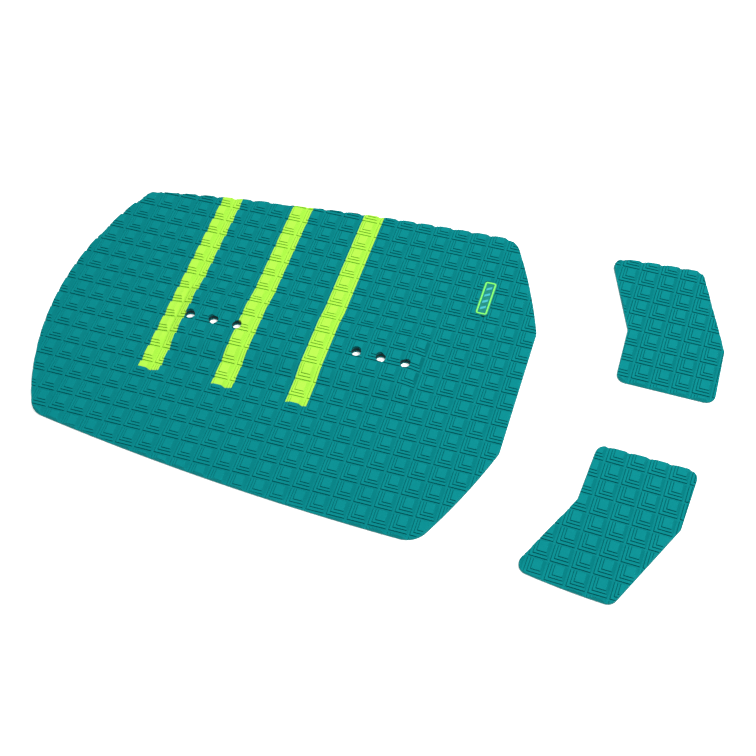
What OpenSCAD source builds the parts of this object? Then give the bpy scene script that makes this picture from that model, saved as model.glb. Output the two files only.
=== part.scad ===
// Three-piece moulded foam deck pad set: one broad main pad with a raised
// arch bar and strap-screw holes, and two cranked side pads.
// Units are millimetres. +X runs along the board centreline towards the side
// pads, +Y across the board, +Z up. The origin is the middle of the strap-screw
// pattern, on the face that lies on the board or table.

/* [Layers] */
// Thickness of each release liner
liner_t = 0.3; // [0.2:0.05:0.5]
// Thickness of each pressure-sensitive adhesive film
adhesive_t = 0.2; // [0.1:0.05:0.4]
// Thickness of the foam base layer
base_t = 2.0; // [1.5:0.25:4]
// Thickness of the patterned top layer, valleys and blocks together
tread_t = 3.5; // [3:0.25:5]

/* [Main pad] */
// Length of the main pad ahead of the origin
main_front = 229.5; // [220:0.5:240]
// Length of the main pad behind the origin
main_rear = 259.5; // [245:0.5:275]
// Half width at the two broad front corners
main_half_w = 191; // [180:1:200]
// Half width at the two rear corners
rear_half_w = 153.5; // [145:0.5:165]
// Half length of the straight front edge
front_half_edge = 75; // [60:1:90]
// Radius of the front corners
front_corner_r = 24; // [10:1:28]
// Radius of the rear corners
rear_corner_r = 21; // [10:1:26]

/* [Arch bar] */
// Length of the arch bar's foot along the board
arch_l = 280; // [260:2:300]
// Width of the arch bar's foot
arch_w = 100; // [84:2:110]
// Run of the slopes, from foot to flat top
arch_slope = 24; // [16:1:30]
// Height of the arch bar's foam core
arch_h = 4; // [3:0.5:8]

/* [Strap screws] */
// Diameter of the strap-screw holes
hole_d = 10; // [8:0.5:11]
// Spacing of the middle pair of holes; the next holes are one pitch in and out
hole_span = 177.8; // [165:0.1:190]
// Distance from one hole of a group to the next
hole_pitch = 25.4; // [24:0.1:27]

/* [Stripes] */
// Width of each inlaid stripe
stripe_w = 21.4; // [18:0.2:24]
// Distance from one stripe to the next
stripe_pitch = 77.5; // [70:0.5:84]
// Place of the middle stripe along the board
stripe_mid_x = -52.3; // [-56:0.1:-48]
// How far the stripes run past the centreline before they stop
stripe_end = 75; // [60:1:90]

/* [Badge] */
// Length of the badge, across the board
badge_l = 43; // [36:1:50]
// Width of the badge
badge_w = 11.4; // [9:0.2:13]
// Height that the badge's frame and bars stand above its field
badge_raise = 0.4; // [0.2:0.1:0.6]
// Depth of the smooth recess that the badge lies in
badge_recess = 0.8; // [0.5:0.1:1.2]

/* [Side pads] */
// Width of a side pad's inner end
side_w = 97.5; // [88:0.5:104]
// Length of the straight inner leg
side_inner_l = 65.5; // [58:0.5:74]
// Length of the cranked outer leg
side_outer_l = 99.5; // [90:0.5:110]
// Angle that the outer leg is cranked by
side_crank = 20.5; // [12:0.5:26]
// Gap between the two side pads across the centreline
side_gap = 80; // [60:1:110]
// Place of the side pads' inner ends along the board
side_x = 316.5; // [305:0.5:330]
// Radius of the side pads' corners
side_corner_r = 10; // [8:1:14]
// Turn of the left pad as it lies, clockwise from above
left_turn = 1.4; // [0:0.1:4]
// Turn of the right pad as it lies, clockwise from above
right_turn = 2.7; // [0:0.1:4]

/* [Hidden] */

// Heights of the layer boundaries, from the table up
z_adhesive = liner_t;
z_base = z_adhesive + adhesive_t;
z_tread = z_base + base_t;
z_top = z_tread + tread_t;
z_arch_top = z_top + arch_h;

// Longer than any hole or cut is deep
through = 40;
// Segments in a rounded corner
corner_steps = 8;
// Facets of the strap-screw holes
hole_fn = 48;

// Outward bulge of the main pad's three kinds of edge
rear_bulge = main_rear - 220.5;
flank_bulge = 7.3;
shoulder_bulge = 3;
front_x = 180;

// Places of the strap-screw holes along the board
hole_xs = [for (side = [-1, 1]) for (k = [-1, 0, 1]) side * (hole_span / 2 + k * hole_pitch)];

// Middle of the badge on the main pad, near its left front shoulder
badge_at = [169.5, 104];
badge_corner_r = 2.5;
badge_line_w = 1.5;
badge_bar_l = 5.2;
badge_bar_w = 3.2;
badge_bars = 4;
badge_bar_pitch = 8.6;
badge_field_margin = 1.2;

teal = [0.05, 0.53, 0.53];
lime = [0.72, 0.95, 0.25];

// Unit vector of v
function unit(v) = v / norm(v);

// Points of an arc from p towards q that bulges by s to the right of p-q; q is left out
function bulged(p, q, s, n) =
    s == 0 ? [p] :
    let (chord = norm(q - p), r = chord * chord / (8 * s) + s / 2,
         u = unit(q - p), out = [u.y, -u.x],
         centre = (p + q) / 2 - out * (r - s), half = asin(chord / 2 / r),
         start = atan2(p.y - centre.y, p.x - centre.x))
    [for (k = [0 : n - 1]) centre + r * [cos(start + 2 * half * k / n), sin(start + 2 * half * k / n)]];

// Arc of radius r that rounds the corner at p between its neighbours a and b
function rounded(a, p, b, r) =
    let (ua = unit(a - p), ub = unit(b - p), half = acos(ua * ub) / 2,
         centre = p + unit(ua + ub) * r / sin(half),
         from = p + ua * r / tan(half) - centre, to = p + ub * r / tan(half) - centre,
         start = atan2(from.y, from.x),
         turn = (atan2(to.y, to.x) - start + 540) % 360 - 180)
    [for (k = [0 : corner_steps])
        centre + r * [cos(start + turn * k / corner_steps), sin(start + turn * k / corner_steps)]];

// Closed outline from corners [x, y, radius, bulge of the next edge, steps on that edge]
function outline(corners) =
    let (n = len(corners),
         raw = [for (k = [0 : n - 1])
             let (c = corners[k], d = corners[(k + 1) % n],
                  edge = bulged([c[0], c[1]], [d[0], d[1]], c[3], c[4]))
             for (j = [0 : len(edge) - 1]) [edge[j], j == 0 ? c[2] : 0]],
         m = len(raw))
    [for (k = [0 : m - 1])
        let (p = raw[k], a = raw[(k + m - 1) % m][0], b = raw[(k + 1) % m][0])
        for (q = p[1] > 0 ? rounded(a, p[0], b, p[1]) : [p[0]]) q];

main_outline = outline([
    [main_front, -front_half_edge, 10, 0, 1],
    [main_front, front_half_edge, 10, shoulder_bulge, 8],
    [front_x, main_half_w, front_corner_r, flank_bulge, 12],
    [rear_bulge - main_rear, rear_half_w, rear_corner_r, rear_bulge, 14],
    [rear_bulge - main_rear, -rear_half_w, rear_corner_r, flank_bulge, 12],
    [front_x, -main_half_w, front_corner_r, shoulder_bulge, 8]
]);

// Side pad outline, inner end on the X axis, outer leg cranked towards -X. The inner leg
// leans a little, and the skew makes the outer leg longer along its far side.
side_lean = 2.1;
side_skew = 4.5;
side_out = [-sin(side_lean), cos(side_lean)] * side_inner_l;
side_crank_dir = [-sin(side_lean + side_crank), cos(side_lean + side_crank)];
side_bend_left = side_out;
side_bend_right = [side_w, 0] + side_out;
side_tip_left = side_bend_left + side_crank_dir * (side_outer_l - side_skew);
side_tip_right = side_bend_right + side_crank_dir * (side_outer_l + side_skew);
side_outline = outline([
    [0, 0, side_corner_r, 0, 1],
    [side_w, 0, side_corner_r, 0, 1],
    [side_bend_right.x, side_bend_right.y, 8, 0, 1],
    [side_tip_right.x, side_tip_right.y, side_corner_r, 1.5, 4],
    [side_tip_left.x, side_tip_left.y, side_corner_r, 0, 1],
    [side_bend_left.x, side_bend_left.y, 8, 0, 1]
]);

// Strap-screw holes, each one straight bore through every layer of the main pad
module strap_holes() {
    for (x = hole_xs)
        translate([x, 0, -through / 2]) cylinder(d = hole_d, h = through, $fn = hole_fn);
}

// One flat layer of the main pad, from height z
module main_layer(z, t) {
    difference() {
        translate([0, 0, z]) linear_extrude(t) polygon(main_outline);
        strap_holes();
    }
}

// The arch bar's loaf shape, with its foot at height z
module arch_loaf(z) {
    translate([0, 0, z]) intersection() {
        rotate([90, 0, 0]) linear_extrude(arch_w, center = true)
            polygon([[-arch_l / 2, 0], [arch_l / 2, 0],
                     [arch_l / 2 - arch_slope, arch_h], [arch_slope - arch_l / 2, arch_h]]);
        rotate([90, 0, 90]) linear_extrude(arch_l, center = true)
            polygon([[-arch_w / 2, 0], [arch_w / 2, 0],
                     [arch_w / 2 - arch_slope, arch_h], [arch_slope - arch_w / 2, arch_h]]);
    }
}

// Whole top layer of the main pad, draped over the arch core, before any inlay is cut
module tread_blank() {
    difference() {
        union() {
            translate([0, 0, z_tread]) linear_extrude(tread_t) polygon(main_outline);
            arch_loaf(z_top);
        }
        arch_loaf(z_tread);
        strap_holes();
    }
}

// Full-height cutter for the stripe at place x along the board
module stripe_cutter(x) {
    translate([x - stripe_w / 2, -stripe_end, z_tread])
        cube([stripe_w, stripe_end + main_half_w + through, through]);
}

module stripe(x) {
    color(lime) intersection() {
        tread_blank();
        stripe_cutter(x);
    }
}

// Rectangle with round corners, longest across the board
module badge_shape(w, l, r) {
    polygon(outline([[-w / 2, -l / 2, r, 0, 1], [w / 2, -l / 2, r, 0, 1],
                     [w / 2, l / 2, r, 0, 1], [-w / 2, l / 2, r, 0, 1]]));
}

field_w = badge_w + 2 * badge_field_margin;
field_l = badge_l + 2 * badge_field_margin;
field_r = badge_corner_r + badge_field_margin;
z_field = z_top - badge_recess;

// Pocket in the tread that the badge's smooth field fills up to its recess
module badge_pocket() {
    translate([badge_at.x, badge_at.y, z_tread]) linear_extrude(through)
        badge_shape(field_w, field_l, field_r);
}

module main_liner() { color("ivory") main_layer(0, liner_t); }

module main_adhesive() { color("gainsboro") main_layer(z_adhesive, adhesive_t); }

module main_base() { color(teal * 0.8) main_layer(z_base, base_t); }

module arch_core() {
    color("dimgray") difference() {
        arch_loaf(z_tread);
        strap_holes();
    }
}

module main_tread() {
    color(teal) difference() {
        tread_blank();
        for (k = [-1, 0, 1]) stripe_cutter(stripe_mid_x + k * stripe_pitch);
        badge_pocket();
    }
}

module stripe_rear() { stripe(stripe_mid_x - stripe_pitch); }

module stripe_middle() { stripe(stripe_mid_x); }

module stripe_front() { stripe(stripe_mid_x + stripe_pitch); }

// Smooth field with a row of plain slanted bars embossed on it
module badge_field() {
    color(teal) translate([badge_at.x, badge_at.y, z_tread]) union() {
        linear_extrude(z_field - z_tread) badge_shape(field_w, field_l, field_r);
        for (k = [0 : badge_bars - 1])
            translate([0, (k - (badge_bars - 1) / 2) * badge_bar_pitch, 0])
                linear_extrude(z_field + badge_raise - z_tread)
                    polygon([[-badge_bar_l / 2, -badge_bar_w], [badge_bar_l / 2, 0],
                             [badge_bar_l / 2, badge_bar_w], [-badge_bar_l / 2, 0]]);
    }
}

// Raised outline round the badge
module badge_frame() {
    color(lime) translate([badge_at.x, badge_at.y, z_field]) linear_extrude(badge_raise)
        difference() {
            badge_shape(badge_w, badge_l, badge_corner_r);
            badge_shape(badge_w - 2 * badge_line_w, badge_l - 2 * badge_line_w,
                        badge_corner_r - badge_line_w);
        }
}

// One flat layer of a side pad; hand is 1 for the left pad and -1 for the right one
module side_layer(hand, turn, z, t) {
    translate([side_x, hand * side_gap / 2, z]) rotate(-turn)
        linear_extrude(t) polygon([for (p = side_outline) [p.x, hand * p.y]]);
}

module left_liner() { color("ivory") side_layer(1, left_turn, 0, liner_t); }

module left_adhesive() { color("gainsboro") side_layer(1, left_turn, z_adhesive, adhesive_t); }

module left_base() { color(teal * 0.8) side_layer(1, left_turn, z_base, base_t); }

module left_tread() { color(teal) side_layer(1, left_turn, z_tread, tread_t); }

module right_liner() { color("ivory") side_layer(-1, right_turn, 0, liner_t); }

module right_adhesive() { color("gainsboro") side_layer(-1, right_turn, z_adhesive, adhesive_t); }

module right_base() { color(teal * 0.8) side_layer(-1, right_turn, z_base, base_t); }

module right_tread() { color(teal) side_layer(-1, right_turn, z_tread, tread_t); }

main_liner();
main_adhesive();
main_base();
arch_core();
main_tread();
stripe_rear();
stripe_middle();
stripe_front();
badge_field();
badge_frame();
left_liner();
left_adhesive();
left_base();
left_tread();
right_liner();
right_adhesive();
right_base();
right_tread();
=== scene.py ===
"""Looks of a three-piece moulded foam deck pad set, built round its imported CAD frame.

The treads and stripes, their base layers and the arch core are meshed here. The badge, the
adhesive films and the release liners keep their CAD shapes.

Every tread is one height function over a square lattice of stepped blocks, limited by a
bevelled rim. Working units are millimetres, and meshes are made in metres.
"""

import math

import bmesh
import bpy
import numpy as np
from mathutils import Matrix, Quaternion, Vector
from mathutils.geometry import delaunay_2d_cdt


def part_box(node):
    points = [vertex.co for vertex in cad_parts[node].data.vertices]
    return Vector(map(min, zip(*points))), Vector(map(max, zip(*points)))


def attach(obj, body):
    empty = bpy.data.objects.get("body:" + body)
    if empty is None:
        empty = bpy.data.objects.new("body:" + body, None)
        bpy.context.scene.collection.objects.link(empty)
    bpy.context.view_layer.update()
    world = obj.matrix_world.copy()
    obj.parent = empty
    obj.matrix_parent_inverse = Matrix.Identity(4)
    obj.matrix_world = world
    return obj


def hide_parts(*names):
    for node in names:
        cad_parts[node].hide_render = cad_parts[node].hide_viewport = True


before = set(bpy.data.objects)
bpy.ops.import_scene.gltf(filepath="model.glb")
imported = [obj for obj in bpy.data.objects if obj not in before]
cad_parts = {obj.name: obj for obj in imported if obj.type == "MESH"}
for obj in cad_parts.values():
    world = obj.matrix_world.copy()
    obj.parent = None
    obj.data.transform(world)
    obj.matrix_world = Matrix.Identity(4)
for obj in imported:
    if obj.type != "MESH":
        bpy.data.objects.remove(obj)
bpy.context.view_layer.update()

MM = 0.001

# ---------------------------------------------------------------- driving dimensions, mm

PITCH = 20.0  # lattice pitch of the blocks
STEPS = (0.0, 3.0, 5.65)  # where the three steps up to a block's top start
FALL = 18.1  # where its far side ends, a single drop to the valley
VALLEY_MIDDLE = 19.0  # middle of the valley between that drop and the next block
STEP_RUNS = (0.75, 0.3)  # how far a step's riser leans, across and along the pad
FALL_RUNS = (3.4, 1.6)  # how far the drop leans
RELIEF = 3.2  # height of a block above the valley
EDGE_DROP = 0.2  # height of a step's rounded edge
FOOT_RISE = 0.08  # height of the hollow at a riser's foot
RIM_WIDTH = 1.4  # width of the bevel round each pad
RIM_FOOT = 0.35  # height of the vertical rim wall above the base layer
RIM_STEPS = (0, 18, 36, 54, 72, 90)  # angles of the bevel's breaks, in degrees
CUT_REACH = 0.4  # width of the softened edge at a cut
CUT_DROP = 0.25  # how far that edge drops

MAIN_PHASE = (13.0, 14.7)  # where a block of the main pad starts
SIDE_PHASES = {"left": (5.5, 6.5), "right": (3.0, 3.7)}  # from the middle of the inner end
ARCH_SLOPE = 24.0  # run of the arch bar's slopes
CORE_EDGE = 0.05  # thickness that the arch core keeps at its feathered edge
SLAB_EDGE = 0.3  # height and width of the softened lower edges of a base layer
BADGE_BEVEL = 0.15  # width of the bevel on the badge's edges
BADGE_PRINT_DEPTH = 0.1  # how far the print on the badge's bars reaches down their sides

# ---------------------------------------------------------------- how finely it is meshed

OUTLINE_STEP = 1.6  # spacing of the points on an outline
RING_STEP = 1.0  # the same on the badge's pocket and the base layer's holes
HUMP_SPLIT = 4  # how many stretches a ring's side has where the pad curves
HOLE_POINTS = 48  # points round a hole
CORE_STEP = 5.0  # spacing of the points on the arch core
ARCH_SITES = (41, 17)  # points, across and along, where the tread's underside bends
RIM_CLEARANCE = 0.6  # least gap between a piece's rim and a free point of its underside
BADGE_REACH = 40.0  # how far from its middle the badge's pocket is looked for
HOLE_SHARE = 0.999  # share of a hole's radius within which a point is in the hole
NUDGE = 0.05  # half the stretch over which a slope is measured
MERGE_GAP = 1e-4  # gap below which points of a cut surface count as one
CDT_EPSILON = 1e-5  # the same for the points of a filled rim
LEAST_AREA = 1e-7  # twice the area below which a triangle is dropped
STEEPEST = 4.0  # largest slope that the rim is shaded with
FAR = 1e3  # a distance beyond every cut and rim
CELL_MARGIN = 1.0  # least gap between a plain cell and a cut or the rim
BEND_JUMP = 3  # ratio of neighbouring edges past which a curve ends and a straight starts
SIDE_LEAST = 50  # least length of a side pad's straight ends


# ---------------------------------------------------------------- outlines from the frame


def chained(pairs):
    """Closed runs of vertices through directed edges."""
    following = dict(pairs)
    runs = []
    while following:
        start, v = following.popitem()
        run = [start]
        while v != start:
            run.append(v)
            v = following.pop(v)
        runs.append(run)
    return runs


def area(loop):
    """Signed area of a closed loop, positive when it runs counter-clockwise."""
    x, y = loop[:, 0], loop[:, 1]
    return 0.5 * float(np.sum(x * np.roll(y, -1) - y * np.roll(x, -1)))


def cad_loops(node):
    """Counter-clockwise loops of a CAD layer's flat underside, the outline first."""
    bm = bmesh.new()
    bm.from_mesh(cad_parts[node].data)
    bmesh.ops.remove_doubles(bm, verts=bm.verts, dist=1e-6)
    low = min(v.co.z for v in bm.verts) + 1e-5
    under = {f for f in bm.faces if all(v.co.z < low for v in f.verts)}
    pairs = [
        (loop.vert, loop.link_loop_next.vert)
        for f in bm.faces  # in the mesh's own order, so that each run gives the same loops
        if f in under
        for loop in f.loops
        if sum(g in under for g in loop.edge.link_faces) == 1
    ]
    loops = []
    for run in chained(pairs):
        loop = np.array([v.co[:2] for v in run]) / MM
        loops.append(loop if area(loop) > 0 else loop[::-1])
    bm.free()
    return sorted(loops, key=area, reverse=True)


def smoothed(loop, step):
    """The loop as a smooth curve through its points, with a point about every step."""
    chord = np.roll(loop, -1, 0) - loop
    length = np.linalg.norm(chord, axis=1)
    after = chord / length[:, None]
    before = np.roll(after, 1, 0)
    long_after = (length / np.roll(length, 1))[:, None]
    tangent = before * length[:, None] + after * np.roll(length, 1)[:, None]
    tangent = np.where(long_after < 1 / BEND_JUMP, before, tangent)
    tangent = np.where(long_after > BEND_JUMP, after, tangent)
    tangent /= np.linalg.norm(tangent, axis=1)[:, None]
    points = []
    for k, p in enumerate(loop):
        count = max(1, round(length[k] / step))
        t = (np.arange(count) / count)[:, None]
        q = loop[(k + 1) % len(loop)]
        lead, trail = tangent[k] * length[k], tangent[(k + 1) % len(loop)] * length[k]
        points.append(
            p * (1 + 2 * t) * (1 - t) ** 2
            + lead * t * (1 - t) ** 2
            + q * t**2 * (3 - 2 * t)
            - trail * t**2 * (1 - t)
        )
    return np.concatenate(points)


def offset(loop, inset):
    """The loop moved to its inside by inset, or to its outside where inset is negative."""
    edge = np.roll(loop, -1, 0) - loop
    normal = np.stack([-edge[:, 1], edge[:, 0]], 1) / np.linalg.norm(edge, axis=1)[:, None]
    both = normal + np.roll(normal, 1, 0)
    both /= np.sum(both * normal, axis=1)[:, None]
    return loop + both * inset


def circle(centre, radius):
    """Points round a hole."""
    turn = np.arange(HOLE_POINTS) * 2 * math.pi / HOLE_POINTS
    return centre + radius * np.stack([np.cos(turn), np.sin(turn)], 1)


def nearest(points, loop):
    """Signed distance inside a counter-clockwise loop, and the direction in which it grows."""
    ab = np.roll(loop, -1, 0) - loop
    square = np.sum(ab * ab, axis=1)
    inward = np.stack([-ab[:, 1], ab[:, 0]], 1) / np.sqrt(square)[:, None]
    distance, direction = np.empty(len(points)), np.empty((len(points), 2))
    for first in range(0, len(points), 1000):
        p = points[first : first + 1000, None]
        t = np.clip(np.sum((p - loop) * ab, axis=2) / square, 0, 1)
        gap = p - loop - t[..., None] * ab
        gap_square = np.sum(gap * gap, axis=2)
        k = gap_square.argmin(1)
        rows = np.arange(len(k))
        v, d = gap[rows, k], np.sqrt(gap_square[rows, k])
        side = np.where(np.sum(v * inward[k], axis=1) < 0, -1.0, 1.0)
        far = (d > 1e-3)[:, None]
        distance[first : first + 1000] = side * d
        direction[first : first + 1000] = np.where(
            far, v * side[:, None] / np.maximum(d, 1e-9)[:, None], inward[k]
        )
    return distance, direction


# ---------------------------------------------------------------- profiles


def riser(start, run, low, high):
    """Breaks (offset, height, slope) of one rising face, with a hollow foot and a round edge."""
    slope, end = (high - low) / run, start + run
    under = (end - EDGE_DROP / slope, high - EDGE_DROP)
    over = (end + EDGE_DROP, high)
    middle = [0.25 * p + 0.5 * c + 0.25 * q for p, c, q in zip(under, (end, high), over)]
    return [
        (start - FOOT_RISE, low, 0.0),
        (start + FOOT_RISE / slope, low + FOOT_RISE, slope),
        (*under, slope),
        (*middle, (over[1] - under[1]) / (over[0] - under[0])),
        (*over, 0.0),
    ]


def stepped_profile(step_run, fall_run):
    """Breaks (offset, height, slope) across one block, from valley middle to valley middle."""
    rise = RELIEF / len(STEPS)
    breaks = [(VALLEY_MIDDLE - PITCH, 0.0, 0.0)]
    for k, start in enumerate(STEPS):
        breaks += riser(start, step_run, k * rise, (k + 1) * rise)
    breaks += [(FALL - u, z, -s) for u, z, s in reversed(riser(0, fall_run, 0.0, RELIEF))]
    breaks.append((VALLEY_MIDDLE, 0.0, 0.0))
    return np.array([(round(u, 2), round(z, 4), s) for u, z, s in breaks])


def level_span(side, z):
    """Where one rising side of the profile reaches height z, and where it leaves it."""
    at = [u for u, height, _ in side if abs(height - z) < 1e-6]
    if at:
        return min(at), max(at)
    for (u, low, _), (v, high, _) in zip(side, side[1:]):
        if low < z < high:
            crossing = u + (v - u) * (z - low) / (high - low)
            return crossing, crossing
    raise ValueError(f"no height {z} on this side")


def contours(profiles):
    """Nested rectangles of a block as (low x, high x, low y, high y), from valley to top."""
    levels = sorted({round(z, 4) for profile in profiles for z in profile[:, 1]})
    spans = []
    for profile in profiles:
        top = profile[:, 1].argmax()
        near = [tuple(row) for row in profile[: top + 1]]
        far = [(-u, z, -s) for u, z, s in profile[:top:-1]]
        spans.append([(*level_span(near, z), *level_span(far, z)) for z in levels])
    nested = []
    for across, along in zip(*spans):
        entered = (across[0], -across[2], along[0], -along[2])
        left = (across[1], -across[3], along[1], -along[3])
        nested += [entered] if entered == left else [entered, left]
    return nested


def bevel_profile(foot, top, levels):
    """Breaks (distance, height, slope) of the rim, with one where it meets each level."""
    rise = top - foot
    angles = [math.radians(a) for a in RIM_STEPS]
    angles += [math.asin((z - foot) / rise) for z in levels if foot < z < top]
    breaks = [
        (
            RIM_WIDTH * (1 - math.cos(a)),
            foot + rise * math.sin(a),
            min(STEEPEST, rise * math.cos(a) / (RIM_WIDTH * max(math.sin(a), 1e-3))),
        )
        for a in sorted(angles)
    ]
    return np.array(breaks)


def smooth_step(t):
    """Rises smoothly from 0 to 1 as t does."""
    t = np.clip(t, 0, 1)
    return t * t * (3 - 2 * t)


# ---------------------------------------------------------------- one lattice cell


def ring_points(rectangle, n):
    """Points round a rectangle, with n stretches to a side."""
    x0, x1, y0, y1 = rectangle
    corners = [(x0, y0), (x1, y0), (x1, y1), (x0, y1)]
    ring = []
    for (ax, ay), (bx, by) in zip(corners, corners[1:] + corners[:1]):
        ring += [(ax + (bx - ax) * k / n, ay + (by - ay) * k / n) for k in range(n)]
    return ring


def cell_template(rectangles, n):
    """Points and faces of one cell. The cell's own border always has HUMP_SPLIT stretches."""
    points, faces, rings = [], [], []
    for k, rectangle in enumerate(rectangles):
        count = HUMP_SPLIT if k == 0 else n
        rings.append((len(points), count))
        points += ring_points(rectangle, count)
    for (outer, a), (inner, b) in zip(rings, rings[1:]):
        for side in range(4):
            out = [outer + (side * a + k) % (4 * a) for k in range(a + 1)]
            inn = [inner + (side * b + k) % (4 * b) for k in range(b + 1)]
            if a != b:
                half = a // 2
                faces += [(out[k], out[k + 1], inn[0] if k < half else inn[1]) for k in range(a)]
                faces.append((out[half], inn[1], inn[0]))
                continue
            faces += [(out[k], out[k + 1], inn[k + 1], inn[k]) for k in range(a)]
    first = rings[-1][0]
    x0, x1, y0, y1 = rectangles[-1]
    grid = {}
    for k in range(n + 1):
        grid[k, 0] = first + k
        grid[n, k] = first + n + k
        grid[k, n] = first + 2 * n + (n - k)
        grid[0, k] = first + (4 * n - k) % (4 * n)
    for i in range(1, n):
        for j in range(1, n):
            grid[i, j] = len(points)
            points.append((x0 + (x1 - x0) * i / n, y0 + (y1 - y0) * j / n))
    for i in range(n):
        for j in range(n):
            faces.append((grid[i, j], grid[i + 1, j], grid[i + 1, j + 1], grid[i, j + 1]))
    return welded(points, faces)


def welded(points, faces):
    """The same faces with equal points joined, and no face left with fewer than three."""
    keys, kept, renumber = {}, [], []
    for p in points:
        key = (round(p[0] * 1000), round(p[1] * 1000))
        if key not in keys:
            keys[key] = len(kept)
            kept.append(p)
        renumber.append(keys[key])
    clean = []
    for f in faces:
        ids = [renumber[v] for v in f]
        ids = [v for k, v in enumerate(ids) if v != ids[k - 1]]
        if len(set(ids)) == len(ids) >= 3:
            clean.append(tuple(ids))
    return np.array(kept), clean


# ---------------------------------------------------------------- the tread surface


class Tread:
    """The patterned top layer of one pad, in the pad's own flat frame."""

    def __init__(self, name, outline, phase, holes=(), pocket=None, stripes=(), arch=None):
        low, high = (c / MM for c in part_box(f"{name}_tread"))
        self.outline, self.phase = outline, np.array(phase)
        self.holes, self.pocket, self.stripes, self.arch = holes, pocket, stripes, arch
        self.under = low.z
        self.top = high.z - (arch["height"] if arch else 0)
        self.profiles = [stepped_profile(*runs) for runs in zip(STEP_RUNS, FALL_RUNS)]
        self.valley = self.top - RELIEF
        levels = [self.valley + RELIEF * k / len(STEPS) for k in range(len(STEPS))]
        self.rim = bevel_profile(self.under + RIM_FOOT, self.top, levels)

    def hump(self, p):
        """Height that the arch bar adds."""
        if not self.arch:
            return np.zeros(len(p))
        reach = (self.arch["half"] - np.abs(p)) / ARCH_SLOPE
        return self.arch["height"] * smooth_step(reach[:, 0]) * smooth_step(reach[:, 1])

    def in_hole(self, p):
        """Which points lie in a screw hole."""
        inside = np.zeros(len(p), bool)
        for centre, radius in self.holes:
            inside |= np.linalg.norm(p - centre, axis=1) <= radius * HOLE_SHARE
        return inside

    def cut_distance(self, p):
        """Distance from the nearest cut: a hole, the badge's pocket or a stripe's seam."""
        d = np.full(len(p), FAR)
        for centre, radius in self.holes:
            d = np.minimum(d, np.abs(np.linalg.norm(p - centre, axis=1) - radius))
        if self.pocket is not None:
            near = np.linalg.norm(p - self.pocket.mean(0), axis=1) < BADGE_REACH
            if near.any():
                d[near] = np.minimum(d[near], np.abs(nearest(p[near], self.pocket)[0]))
        for x0, x1, end in self.stripes:
            side = np.minimum(np.abs(p[:, 0] - x0), np.abs(p[:, 0] - x1))
            side = np.hypot(side, np.maximum(end - p[:, 1], 0))
            across = np.maximum(np.maximum(x0 - p[:, 0], p[:, 0] - x1), 0)
            d = np.minimum(d, np.minimum(side, np.hypot(across, p[:, 1] - end)))
        return d

    def swell(self, p):
        """The slowly varying part of the height: the arch bar, less the softened cuts."""
        t = np.clip(1 - self.cut_distance(p) / CUT_REACH, 0, 1)
        return self.hump(p) - CUT_DROP * t * t

    def lattice(self, p):
        """Each coordinate within its cell, measured from where the cell's block starts."""
        valley = VALLEY_MIDDLE - PITCH
        return (p - self.phase - valley) % PITCH + valley

    def pattern(self, p, column):
        """The profile's height (column 1) or slope (column 2) across and along the pad."""
        u = self.lattice(p)
        rows = [np.interp(u[:, k], f[:, 0], f[:, column]) for k, f in enumerate(self.profiles)]
        return np.stack(rows, 1)

    def branch_heights(self, p, edge_distance):
        """Height by the pattern across, by the pattern along, and by the rim. The least holds."""
        rim = np.interp(edge_distance, self.rim[:, 0], self.rim[:, 1])
        return np.column_stack([self.valley + self.pattern(p, 1), rim])

    def is_plain(self, corner):
        """Whether the cell at that corner is clear of every cut and of the rim."""
        square = corner + PITCH * np.array([(0, 0), (1, 0), (1, 1), (0, 1), (0.5, 0.5)])
        if nearest(square, self.outline)[0].min() < RIM_WIDTH + CELL_MARGIN:
            return False
        low, high = corner - CELL_MARGIN, corner + PITCH + CELL_MARGIN
        for centre, radius in self.holes:
            if np.linalg.norm(np.clip(centre, low, high) - centre) < radius:
                return False
        if self.pocket is not None:
            if (self.pocket.max(0) > low).all() and (self.pocket.min(0) < high).all():
                return False
        for x0, x1, end in self.stripes:
            if high[1] > end and any(low[0] < x < high[0] for x in (x0, x1)):
                return False
            if low[1] < end < high[1] and low[0] < x1 and high[0] > x0:
                return False
        return True

    def is_curved(self, corner):
        """Whether the cell lies on a slope of the arch bar."""
        if not self.arch:
            return False
        low, high = corner, corner + PITCH
        inner = self.arch["half"] - ARCH_SLOPE
        outside = (low > self.arch["half"]).any() or (high < -self.arch["half"]).any()
        return not outside and not ((low > -inner) & (high < inner)).all()

    def cut_lines(self):
        """Runs of points, closed or open, that the mesh follows round the cuts and the rim."""
        lines = [(offset(self.outline, d), True) for d in self.rim[:, 0]]
        reaches = (0, CUT_REACH / 2, CUT_REACH)
        for centre, radius in self.holes:
            lines += [(circle(centre, radius + r), True) for r in reaches]
        if self.pocket is not None:
            lines += [(offset(self.pocket, -r), True) for r in reaches]
        beyond = self.outline[:, 1].max() + 5
        for x0, x1, end in self.stripes:
            for r in (-reaches[2], -reaches[1], 0, reaches[1], reaches[2]):
                left, right, foot = x0 + r, x1 - r, end + r
                lines.append(([(left, beyond), (left, foot), (right, foot), (right, beyond)], False))
        return lines

    def mesh(self):
        """Points, faces and each point's distance from the outline."""
        nested = contours(self.profiles)
        flat, curved = cell_template(nested, 1), cell_template(nested, HUMP_SPLIT)
        start = self.phase + VALLEY_MIDDLE - PITCH
        first = np.floor((self.outline.min(0) - start) / PITCH).astype(int)
        last = np.ceil((self.outline.max(0) - start) / PITCH).astype(int)
        keys, points, faces, lines, plain = {}, [], [], [], set()

        def index(p):
            key = (round(p[0] * 1000), round(p[1] * 1000))
            if key not in keys:
                keys[key] = len(points)
                points.append((float(p[0]), float(p[1])))
            return keys[key]

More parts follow.
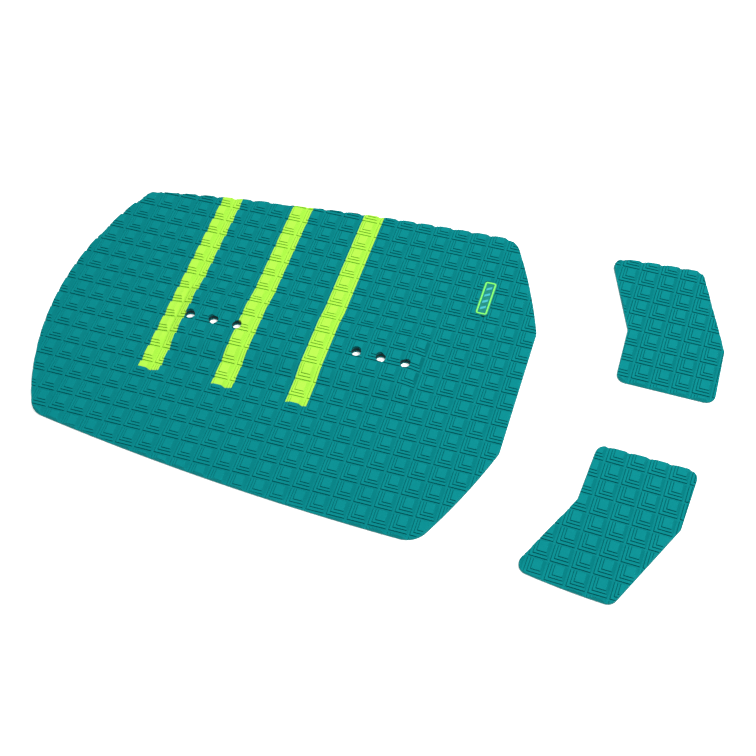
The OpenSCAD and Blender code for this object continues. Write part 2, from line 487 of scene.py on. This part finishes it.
        for i in range(first[0], last[0]):
            for j in range(first[1], last[1]):
                corner = start + PITCH * np.array([i, j])
                cell_points, cell_faces = curved if self.is_curved(corner) else flat
                moved = cell_points + self.phase + PITCH * np.array([i, j])
                if self.is_plain(corner):
                    plain.add((i, j))
                    ids = [index(p) for p in moved]
                    faces += [tuple(ids[v] for v in f) for f in cell_faces]
                else:
                    for f in cell_faces:
                        lines.append((moved[list(f)], True))
        lines += self.cut_lines()

        keys_cut, sites, edges = {}, [], set()

        def site(p):
            key = (round(p[0] * 1000), round(p[1] * 1000))
            if key not in keys_cut:
                keys_cut[key] = len(sites)
                sites.append(Vector((p[0], p[1])))
            return keys_cut[key]

        for run, closed in lines:
            ids = [site(p) for p in run]
            ends = ids[1:] + ids[:1] if closed else ids[1:]
            edges |= {(min(a, b), max(a, b)) for a, b in zip(ids, ends) if a != b}
        found, _, triangles = delaunay_2d_cdt(sites, sorted(edges), [], 0, MERGE_GAP, False)[:3]
        found = np.array([tuple(v) for v in found], float)
        triangles = np.array([tuple(t) for t in triangles])
        middle = found[triangles].mean(1)
        cells = np.floor((middle - start) / PITCH).astype(int)
        keep = np.array([(i, j) not in plain for i, j in cells])
        keep &= nearest(middle, self.outline)[0] > 0
        keep &= ~self.in_hole(middle)
        if self.pocket is not None:
            near = keep & (np.linalg.norm(middle - self.pocket.mean(0), axis=1) < BADGE_REACH)
            keep[near] &= nearest(middle[near], self.pocket)[0] < 0
        a, b, c = (found[triangles[:, k]] for k in range(3))
        twice = np.cross(b - a, c - a)
        keep &= np.abs(twice) > LEAST_AREA
        plain_count = len(points)
        ids = {}
        for t, up in zip(triangles[keep], twice[keep] > 0):
            face = []
            for v in t if up else t[::-1]:
                if v not in ids:
                    ids[v] = index(found[v])
                face.append(ids[v])
            if len(set(face)) == 3:
                faces.append(tuple(face))
        points = np.array(points)
        distance = np.full(len(points), FAR)
        direction = np.zeros((len(points), 2))
        border = np.arange(plain_count, len(points))
        distance[border], direction[border] = nearest(points[border], self.outline)
        return points, faces, np.maximum(distance, 0), direction


def face_corners(faces):
    """Flat arrays of the vertex and the face at each corner, and each face's size."""
    sizes = np.array([len(f) for f in faces])
    corner_vertex = np.array([v for f in faces for v in f])
    corner_face = np.repeat(np.arange(len(faces)), sizes)
    return corner_vertex, corner_face, sizes


def means_by_face(values, corner_face, sizes):
    """Mean of the corners' rows of values over each face."""
    total = np.stack([np.bincount(corner_face, v, len(sizes)) for v in values.T], 1)
    return total / sizes[:, None]


def measured_slope(height, points):
    """Slope of a height function along x and y at each point."""
    shifts = NUDGE * np.eye(2)
    return np.stack([(height(points + s) - height(points - s)) / (2 * NUDGE) for s in shifts], 1)


def new_object(name, points, faces, normals=None, attributes=None, place=None):
    """A mesh object from millimetre points, with the given normal at each face corner."""
    points = np.array(points, float)
    if place is not None:
        origin, turn = place
        c, s = math.cos(turn), math.sin(turn)
        spin = np.array([(c, s), (-s, c)])
        points[:, :2] = points[:, :2] @ spin + origin
        if normals is not None:
            normals = np.array(normals)
            normals[:, :2] = normals[:, :2] @ spin
    mesh = bpy.data.meshes.new(name)
    mesh.from_pydata([tuple(p * MM) for p in points], [], [tuple(int(v) for v in f) for f in faces])
    mesh.polygons.foreach_set("use_smooth", [True] * len(mesh.polygons))
    for key, values in (attributes or {}).items():
        attribute = mesh.attributes.new(key, "FLOAT", "POINT")
        attribute.data.foreach_set("value", np.asarray(values, np.float32))
    mesh.update()
    if normals is not None:
        mesh.normals_split_custom_set([tuple(n) for n in normals])
    obj = bpy.data.objects.new(name, mesh)
    bpy.context.scene.collection.objects.link(obj)
    return obj


def filled(points, rims):
    """Counter-clockwise triangles on the left of directed rims, and each vertex's point."""
    sites = [Vector(p) for p in points]
    cdt = delaunay_2d_cdt(sites, rims, [], 0, CDT_EPSILON, True)
    found, spans, triangles, vertex_points, span_rims = cdt[:5]
    border = set()
    for (p, q), sources in zip(spans, span_rims):
        if sources:
            a, b = rims[sources[0]]
            along = (found[q] - found[p]).dot(sites[b] - sites[a]) > 0
            border.add((p, q) if along else (q, p))
    owner = {}
    for k, t in enumerate(triangles):
        owner.update({side: k for side in zip(t, t[1:] + t[:1])})
    open_ends = [owner[side] for side in border if side in owner]
    inside = set(open_ends)
    while open_ends:
        t = triangles[open_ends.pop()]
        for p, q in zip(t, t[1:] + t[:1]):
            beyond = owner.get((q, p))
            if (p, q) not in border and beyond is not None and beyond not in inside:
                inside.add(beyond)
                open_ends.append(beyond)
    source = [v[0] if v else None for v in vertex_points]
    return [tuple(source[v] for v in triangles[k]) for k in sorted(inside)]


def rim_distance(p, starts, ends):
    """Distance of a point from the nearest of the segments."""
    along = ends - starts
    t = np.clip(np.sum((p - starts) * along, axis=1) / np.sum(along * along, axis=1), 0, 1)
    return np.linalg.norm(p - starts - t[:, None] * along, axis=1).min()


def closed_piece(name, points, faces, normals, floor, attributes, place, extra=()):
    """Closes a top surface with walls and an underside at the heights that floor gives."""
    pairs = {}
    for f in faces:
        for a, b in zip(f, f[1:] + f[:1]):
            pairs[a, b] = True
    rim = [(a, b) for a, b in pairs if (b, a) not in pairs]
    edge_ids = sorted({v for pair in rim for v in pair})
    low = {v: len(points) + k for k, v in enumerate(edge_ids)}
    flat = points[edge_ids, :2]
    slot_of = {v: k for k, v in enumerate(edge_ids)}
    starts, ends = (points[[pair[k] for pair in rim], :2] for k in (0, 1))
    clear = [p for p in extra if rim_distance(p, starts, ends) > RIM_CLEARANCE]
    under = np.concatenate([flat, np.reshape(clear, (-1, 2))])
    triangles = filled(under, [(slot_of[a], slot_of[b]) for a, b in rim])
    used = {v for t in triangles for v in t} - set(range(len(edge_ids)))
    kept = list(range(len(edge_ids))) + sorted(used)
    place_of = {v: len(points) + k for k, v in enumerate(kept)}
    under = under[kept]
    under = np.column_stack([under, floor(under)])
    all_points = np.concatenate([points, under])
    walls = [(b, a, low[a], low[b]) for a, b in rim]
    bottoms = [tuple(place_of[v] for v in t[::-1]) for t in triangles]
    outward = {v: np.zeros(2) for v in edge_ids}
    wall_normals = []
    for a, b in rim:
        along = points[b, :2] - points[a, :2]
        normal = np.array([along[1], -along[0]]) / max(np.linalg.norm(along), 1e-9)
        wall_normals.append(normal)
        outward[a] = outward[a] + normal
        outward[b] = outward[b] + normal
    rest = []
    for (a, b), own in zip(rim, wall_normals):
        for v in (b, a, a, b):
            mean = outward[v] / max(np.linalg.norm(outward[v]), 1e-9)
            n = mean if mean @ own > 0.9 else own
            rest.append((n[0], n[1], 0.0))
    for f in bottoms:
        p, q, r = all_points[list(f)]
        n = np.cross(q - p, r - p)
        n = n / max(np.linalg.norm(n), 1e-9)
        rest += [tuple(n)] * 3
    padding = np.zeros(len(under))
    attributes = {k: np.concatenate([v, padding]) for k, v in attributes.items()}
    return new_object(
        name,
        all_points,
        list(faces) + walls + bottoms,
        np.concatenate([normals, np.array(rest)]),
        attributes,
        place,
    )


def build_tread(tread, place, parts):
    """Makes the tread and its inlaid stripes. parts maps a piece name to its stripe, or None."""
    points, faces, distance, direction = tread.mesh()
    corner_vertex, corner_face, sizes = face_corners(faces)
    heights = tread.branch_heights(points, distance)
    z = heights.min(1) + tread.swell(points)
    solid = np.column_stack([points, z])
    flat_middle = means_by_face(points[corner_vertex], corner_face, sizes)
    middle_distance = means_by_face(distance[corner_vertex][:, None], corner_face, sizes)[:, 0]
    branch = tread.branch_heights(flat_middle, middle_distance).argmin(1)[corner_face]
    slope = tread.pattern(points, 2)[corner_vertex]
    rim_slope = np.interp(distance, tread.rim[:, 0], tread.rim[:, 2])
    gradient = np.zeros((len(corner_vertex), 2))
    gradient[:, 0] = np.where(branch == 0, slope[:, 0], 0)
    gradient[:, 1] = np.where(branch == 1, slope[:, 1], 0)
    on_rim = branch == 2
    gradient[on_rim] = (rim_slope[:, None] * direction)[corner_vertex[on_rim]]
    gradient += measured_slope(tread.swell, points)[corner_vertex]
    normals = np.column_stack([-gradient, np.ones(len(gradient))])
    normals /= np.linalg.norm(normals, axis=1)[:, None]
    # depth below the top; the foam material paints shade from it in the valleys and on steep faces, and
    # the rim is kept free of it
    depth = np.clip((tread.top + tread.hump(points) - z) / RELIEF, 0, 1)
    depth[distance < RIM_WIDTH] = 0
    starts = np.concatenate([[0], np.cumsum(sizes)[:-1]])
    made = {}
    for name, stripe in parts.items():
        if stripe is None:
            inside = np.ones(len(faces), bool)
            for x0, x1, end in tread.stripes:
                inside &= ~in_stripe(flat_middle, x0, x1, end)
        else:
            inside = in_stripe(flat_middle, *stripe)
        chosen = np.flatnonzero(inside)
        used = np.unique(np.concatenate([np.array(faces[k]) for k in chosen]))
        renumber = {int(v): k for k, v in enumerate(used)}
        part_faces = [tuple(renumber[v] for v in faces[k]) for k in chosen]
        corners = np.concatenate([np.arange(starts[k], starts[k] + sizes[k]) for k in chosen])
        extra = arch_sites(tread.arch) if tread.arch else ()
        made[name] = closed_piece(
            name,
            solid[used],
            part_faces,
            normals[corners],
            lambda p: tread.under + tread.hump(p),
            {"depth": depth[used]},
            place,
            extra,
        )
    return made


def build_core(tread):
    """The arch bar's foam core, which fills the hollow under the tread."""
    arch = tread.arch
    half = arch["half"]
    xs, ys = (np.linspace(-h, h, int(2 * h / CORE_STEP) + 1) for h in half)
    sites = [Vector((x, y)) for x in xs for y in ys]
    rims = []
    for centre, radius in tread.holes:
        first = len(sites)
        sites += [Vector(p) for p in circle(centre, radius)]
        rims += [(first + k, first + (k + 1) % HOLE_POINTS) for k in range(HOLE_POINTS)]
    found, _, triangles = delaunay_2d_cdt(sites, rims, [], 0, MERGE_GAP, False)[:3]
    found = np.array([tuple(v) for v in found], float)
    triangles = np.array([tuple(t) for t in triangles])
    middle = found[triangles].mean(1)
    kept = triangles[(np.abs(middle) < half).all(1) & ~tread.in_hole(middle)]
    faces = []
    for t in kept:
        a, b, c = found[t]
        up = np.cross(b - a, c - a) > 0
        faces.append(tuple(int(v) for v in (t if up else t[::-1])))
    height = np.maximum(tread.hump(found), CORE_EDGE)
    points = np.column_stack([found, tread.under + height])
    corners = np.array([v for f in faces for v in f])
    gradient = measured_slope(tread.hump, found)
    normals = np.column_stack([-gradient, np.ones(len(found))])
    normals = (normals / np.linalg.norm(normals, axis=1)[:, None])[corners]
    core = closed_piece(
        "arch_core_foam",
        points,
        faces,
        normals,
        lambda p: np.full(len(p), tread.under),
        {"depth": np.zeros(len(points))},
        None,
    )
    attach(core, "main_pad")
    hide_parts("arch_core")
    # the dark core colour is painted shade for the hole bores
    dressed(core, core_foam)


def in_stripe(p, x0, x1, end):
    """Which points lie between a stripe's long edges and beyond its near end."""
    return (p[:, 0] > x0) & (p[:, 0] < x1) & (p[:, 1] > end)


def arch_sites(arch):
    """Points under the arch bar where the tread's underside bends."""
    xs, ys = (h * np.linspace(-1, 1, n) for h, n in zip(arch["half"], ARCH_SITES))
    return [np.array((x, y)) for x in xs for y in ys]


# ---------------------------------------------------------------- flat foam layers


def build_slab(name, loops, low, high, place=None):
    """A flat foam layer with a softened lower edge, from its outline and its holes."""
    edge = SLAB_EDGE
    levels = [(low, edge), (low + 0.4 * edge, 0.3 * edge), (low + edge, 0.0), (high, 0.0)]
    points, faces, edges = [], [], []
    for k, loop in enumerate(loops):
        sign = 1 if k == 0 else -1
        rows = []
        for z, inset in levels:
            ring = offset(loop, sign * inset)
            rows.append(len(points))
            points += [(x, y, z) for x, y in ring]
        n = len(loop)
        for below, above in zip(rows, rows[1:]):
            for i in range(n):
                j = (i + 1) % n
                quad = (below + i, below + j, above + j, above + i)
                faces.append(quad if k == 0 else quad[::-1])
        edges.append((rows[0], rows[-1], n))
    for which in (0, 1):
        ids, rims = [], []
        for k, rows in enumerate(edges):
            first, n = len(ids), rows[2]
            ids += list(range(rows[which], rows[which] + n))
            ring = [(first + i, first + (i + 1) % n) for i in range(n)]
            rims += ring if k == 0 else [(b, a) for a, b in ring]
        for t in filled([points[v][:2] for v in ids], rims):
            faces.append(tuple(ids[v] for v in (t if which == 1 else t[::-1])))
    obj = new_object(name, points, faces, None, {"depth": np.zeros(len(points))}, place)
    obj.data.set_sharp_from_angle(angle=math.radians(50))
    return obj


# ---------------------------------------------------------------- materials


def material(name):
    """A fresh node material, its Principled shader and a function that adds nodes to it."""
    m = bpy.data.materials.new(name)
    m.use_nodes = True
    tree = m.node_tree
    shader = next(n for n in tree.nodes if n.type == "BSDF_PRINCIPLED")

    def add(kind, **settings):
        node = tree.nodes.new(kind)
        for key, value in settings.items():
            setattr(node, key, value)
        return node

    return m, tree, shader, add


def noise(add, tree, coordinates, scale, detail=3.0):
    """Factor of a noise texture."""
    node = add("ShaderNodeTexNoise")
    node.inputs["Scale"].default_value = scale
    node.inputs["Detail"].default_value = detail
    tree.links.new(coordinates, node.inputs["Vector"])
    return node.outputs["Fac"]


def mixed(add, tree, factor, a, b, blend="MIX"):
    """Colour a turning into b by factor. Each is a socket or a plain colour or number."""
    node = add("ShaderNodeMix", data_type="RGBA", blend_type=blend)
    for value, socket in ((factor, node.inputs[0]), (a, node.inputs[6]), (b, node.inputs[7])):
        if hasattr(value, "links"):
            tree.links.new(value, socket)
        else:
            socket.default_value = value
    return node.outputs[2]


def ranged(add, tree, value, low, high, to_low, to_high):
    """The value, mapped from one range to another."""
    node = add("ShaderNodeMapRange")
    tree.links.new(value, node.inputs["Value"])
    for key, number in zip(("From Min", "From Max", "To Min", "To Max"), (low, high, to_low, to_high)):
        node.inputs[key].default_value = number
    return node.outputs["Result"]


def srgb(r, g, b):
    """Linear colour of an 8-bit sRGB one."""
    values = [v / 255 for v in (r, g, b)]
    linear = [v / 12.92 if v <= 0.04045 else ((v + 0.055) / 1.055) ** 2.4 for v in values]
    return (*linear, 1.0)


def foam(name, face, dark_grain_and_shade, pale, cell_bump=0.25):
    """Closed-cell EVA foam: fine cells and soft mottling, with painted shade on steep faces of the
    relief and in its valleys.
    """
    m, tree, shader, add = material(name)
    coordinates = add("ShaderNodeTexCoord")
    where = coordinates.outputs["Object"]
    direction = add("ShaderNodeSeparateXYZ")
    tree.links.new(coordinates.outputs["Normal"], direction.inputs["Vector"])
    depth = add("ShaderNodeAttribute", attribute_name="depth").outputs["Fac"]
    # painted shade: the bottom of each valley (depth 0.8 to 1) is mixed up to 15 % toward the dark tone
    valley = ranged(add, tree, depth, 0.8, 1.0, 0, 0.15)
    # painted shade: relief faces below the top that slope more than about 37 degrees are mixed toward
    # the dark tone, fully past 60 degrees
    below_top = ranged(add, tree, depth, 0.0, 0.12, 0, 1)
    steep = add("ShaderNodeMath", operation="MULTIPLY")
    tree.links.new(ranged(add, tree, direction.outputs["Z"], 0.5, 0.8, 1, 0), steep.inputs[0])
    tree.links.new(below_top, steep.inputs[1])
    mottle = noise(add, tree, where, 45, 4)
    grain = noise(add, tree, where, 1400, 2)
    colour = mixed(add, tree, ranged(add, tree, mottle, 0.35, 0.75, 0, 0.4), face, pale)
    # random grain mixes up to 20 % toward the same dark tone, then the two painted-shade masks are
    # applied
    colour = mixed(add, tree, ranged(add, tree, grain, 0.3, 0.75, 0, 0.2), colour, dark_grain_and_shade)
    colour = mixed(add, tree, valley, colour, dark_grain_and_shade)
    colour = mixed(add, tree, steep.outputs[0], colour, dark_grain_and_shade)
    tree.links.new(colour, shader.inputs["Base Color"])
    rough = ranged(add, tree, grain, 0.3, 0.7, 0.68, 0.86)
    tree.links.new(rough, shader.inputs["Roughness"])
    shader.inputs["Specular IOR Level"].default_value = 0.04
    cells = add("ShaderNodeTexVoronoi")
    cells.inputs["Scale"].default_value = 2200
    tree.links.new(where, cells.inputs["Vector"])
    bump = add("ShaderNodeBump")
    bump.inputs["Strength"].default_value = cell_bump
    bump.inputs["Distance"].default_value = 0.0002
    tree.links.new(cells.outputs["Distance"], bump.inputs["Height"])
    tree.links.new(bump.outputs["Normal"], shader.inputs["Normal"])
    return m


def printed(name, field, cell, bar, level):
    """Smooth foam skin, mottled between two tones, with another tone printed above a level."""
    m, tree, shader, add = material(name)
    where = add("ShaderNodeTexCoord").outputs["Object"]
    height = add("ShaderNodeSeparateXYZ")
    tree.links.new(where, height.inputs["Vector"])
    mottle = noise(add, tree, where, 500, 3)
    colour = mixed(add, tree, ranged(add, tree, mottle, 0.35, 0.7, 0, 1), field, cell)
    raised = ranged(add, tree, height.outputs["Z"], level - 0.05 * MM, level, 0, 1)
    tree.links.new(mixed(add, tree, raised, colour, bar), shader.inputs["Base Color"])
    rough = ranged(add, tree, mottle, 0.3, 0.7, 0.45, 0.6)
    tree.links.new(rough, shader.inputs["Roughness"])
    shader.inputs["Specular IOR Level"].default_value = 0.2
    return m


def film(name, colour, tint, roughness):
    """Thin sheet with a faint fibrous mottling: release paper or adhesive film."""
    m, tree, shader, add = material(name)
    where = add("ShaderNodeTexCoord").outputs["Object"]
    fibres = noise(add, tree, where, 600, 6)
    cloud = noise(add, tree, where, 60, 2)
    shade = mixed(add, tree, ranged(add, tree, fibres, 0.3, 0.7, 0, 0.6), colour, tint)
    shade = mixed(add, tree, ranged(add, tree, cloud, 0.3, 0.7, 0, 0.4), shade, tint)
    tree.links.new(shade, shader.inputs["Base Color"])
    rough = ranged(add, tree, fibres, 0.3, 0.7, roughness - 0.08, roughness + 0.08)
    tree.links.new(rough, shader.inputs["Roughness"])
    bump = add("ShaderNodeBump")
    bump.inputs["Strength"].default_value = 0.1
    bump.inputs["Distance"].default_value = 0.0001
    tree.links.new(fibres, bump.inputs["Height"])
    tree.links.new(bump.outputs["Normal"], shader.inputs["Normal"])
    return m


# The second colour of each foam is a dark tone, used for random grain and as painted shade in the
# valleys and on steep faces.
teal_foam = foam("teal_foam", srgb(4, 127, 130), srgb(0, 90, 93), srgb(8, 134, 136))
lime_foam = foam("lime_foam", srgb(171, 231, 73), srgb(112, 180, 38), srgb(179, 237, 85))
base_foam = foam("base_foam", srgb(2, 126, 128), srgb(0, 104, 107), srgb(4, 132, 132))
# painted shade: the arch core is a dark teal rather than the pad's teal, so that the bores of the holes
# through it look shaded
core_foam = foam("core_foam", srgb(26, 62, 64), srgb(18, 46, 48), srgb(34, 72, 74))
badge_lime = foam("badge_lime", srgb(125, 240, 100), srgb(110, 225, 90), srgb(140, 245, 115), 0.1)
print_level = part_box("badge_field")[1].z - BADGE_PRINT_DEPTH * MM
badge_teal = printed(
    "badge_teal", srgb(16, 132, 116), srgb(6, 118, 108), srgb(62, 176, 186), print_level
)
release_paper = film("release_paper", srgb(250, 249, 246), srgb(243, 242, 236), 0.42)
adhesive_film = film("adhesive_film", srgb(238, 240, 238), srgb(228, 231, 228), 0.3)


def dressed(obj, finish):
    """Gives an object one material, and returns the object."""
    obj.data.materials.clear()
    obj.data.materials.append(finish)
    return obj


# ---------------------------------------------------------------- the pads


def millimetres(node):
    """Low and high corner of a node's box."""
    low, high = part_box(node)
    return np.array(low) / MM, np.array(high) / MM


def main_pad():
    """The main pad's tread, stripes, arch core and base layer."""
    outline, *hole_loops = cad_loops("main_base")
    holes = [(loop.mean(0), np.linalg.norm(loop - loop.mean(0), axis=1).mean()) for loop in hole_loops]
    outline = smoothed(outline, OUTLINE_STEP)
    pocket = smoothed(cad_loops("badge_field")[0], RING_STEP)
    stripes = {}
    for name in ("stripe_rear", "stripe_middle", "stripe_front"):
        low, high = millimetres(name)
        stripes[name] = (low[0], high[0], low[1])
    core_low, core_high = millimetres("arch_core")
    arch = {"half": (core_high[:2] - core_low[:2]) / 2, "height": core_high[2] - core_low[2]}
    tread = Tread("main", outline, MAIN_PHASE, holes, pocket, list(stripes.values()), arch)
    parts = {"main_tread_foam": None}
    parts.update({f"{name}_foam": stripe for name, stripe in stripes.items()})
    made = build_tread(tread, None, parts)
    for name, obj in made.items():
        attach(obj, "main_pad")
        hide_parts(name.removesuffix("_foam"))
        dressed(obj, teal_foam if name.startswith("main") else lime_foam)
    build_core(tread)
    low, high = millimetres("main_base")
    rings = [outline] + [smoothed(loop, RING_STEP) for loop in hole_loops]
    base = build_slab("main_base_foam", rings, low[2], high[2])
    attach(base, "main_pad")
    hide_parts("main_base")
    dressed(base, base_foam)


def side_place(loop):
    """Middle of a side pad's inner end and the angle at which it lies, from its outline."""
    following = np.roll(loop, -1, 0)
    length = np.linalg.norm(following - loop, axis=1)
    middle = (loop + following) / 2
    long_edges = [k for k in range(len(loop)) if length[k] > SIDE_LEAST]
    k = min(long_edges, key=lambda e: abs(middle[e][1]))
    along = (following[k] - loop[k]) * np.sign(following[k][0] - loop[k][0])
    return middle[k], math.atan2(along[1], along[0])


def side_pad(hand):
    """One side pad's tread and base layer, made flat and then turned into place."""
    raw = cad_loops(f"{hand}_base")[0]
    origin, turn = side_place(raw)
    c, s = math.cos(turn), math.sin(turn)
    spin = np.array([(c, s), (-s, c)])
    outline = smoothed((raw - origin) @ spin.T, OUTLINE_STEP)
    tread = Tread(hand, outline, SIDE_PHASES[hand])
    body = f"{hand}_pad"
    for obj in build_tread(tread, (origin, turn), {f"{hand}_tread_foam": None}).values():
        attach(obj, body)
        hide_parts(f"{hand}_tread")
        dressed(obj, teal_foam)
    low, high = millimetres(f"{hand}_base")
    base = build_slab(f"{hand}_base_foam", [outline], low[2], high[2], (origin, turn))
    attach(base, body)
    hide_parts(f"{hand}_base")
    dressed(base, base_foam)


main_pad()
side_pad("left")
side_pad("right")

for pad in ("main", "left", "right"):
    dressed(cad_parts[f"{pad}_liner"], release_paper)
    dressed(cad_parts[f"{pad}_adhesive"], adhesive_film)
for node, finish in (("badge_field", badge_teal), ("badge_frame", badge_lime)):
    piece = dressed(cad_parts[node], finish)
    weld = piece.modifiers.new("weld", "WELD")
    weld.merge_threshold = 1e-6
    bevel = piece.modifiers.new("bevel", "BEVEL")
    bevel.width = BADGE_BEVEL * MM
    bevel.segments = 2
    bevel.limit_method = "ANGLE"


# ---------------------------------------------------------------- floor, light and camera

floor_mesh = bpy.data.meshes.new("floor")
reach = 6.0  # half the side of the floor, metres
floor_mesh.from_pydata(
    [(-reach, -reach, 0), (reach, -reach, 0), (reach, reach, 0), (-reach, reach, 0)], [], [(0, 1, 2, 3)]
)
floor = bpy.data.objects.new("floor", floor_mesh)
bpy.context.scene.collection.objects.link(floor)
floor_paint, _, floor_shader, _ = material("floor_paint")
floor_shader.inputs["Base Color"].default_value = (0.9, 0.9, 0.9, 1)
floor_shader.inputs["Roughness"].default_value = 0.9
floor_shader.inputs["Specular IOR Level"].default_value = 0.1
floor_shader.inputs["Emission Color"].default_value = (1, 1, 1, 1)
floor_shader.inputs["Emission Strength"].default_value = 0.6
dressed(floor, floor_paint)

world = bpy.data.worlds.new("studio")
world.use_nodes = True
background = world.node_tree.nodes["Background"]
background.inputs["Color"].default_value = (1, 1, 1, 1)
background.inputs["Strength"].default_value = 0.36
bpy.context.scene.world = world


def area_light(name, place, target, size, power):
    """A round lamp that shines from its place at a target."""
    lamp = bpy.data.lights.new(name, "AREA")
    lamp.shape = "DISK"
    lamp.size = size
    lamp.energy = power
    obj = bpy.data.objects.new(name, lamp)
    obj.location = place
    obj.rotation_mode = "QUATERNION"
    obj.rotation_quaternion = (Vector(target) - Vector(place)).to_track_quat("-Z", "Y")
    bpy.context.scene.collection.objects.link(obj)


area_light("key", (0.95, 0.3, 2.55), (0.1, 0, 0), 0.7, 82)

target = Vector((0.0921, -0.0201, 0))  # point of the floor that the camera looks at
azimuth, elevation = math.radians(19.26), math.radians(53.03)  # of the camera, seen from there
distance = 1.446  # metres
roll = math.radians(-2.57)
back = Vector(
    (
        math.sin(azimuth) * math.cos(elevation),
        -math.cos(azimuth) * math.cos(elevation),
        math.sin(elevation),
    )
)
camera_data = bpy.data.cameras.new("camera")
camera_data.lens = 69.79
camera_data.sensor_width = 36
camera = bpy.data.objects.new("camera", camera_data)
camera.location = target + back * distance
camera.rotation_mode = "QUATERNION"
camera.rotation_quaternion = (-back).to_track_quat("-Z", "Y") @ Quaternion((0, 0, 1), roll)
bpy.context.scene.collection.objects.link(camera)
bpy.context.scene.camera = camera
bpy.context.scene.view_settings.view_transform = "Standard"
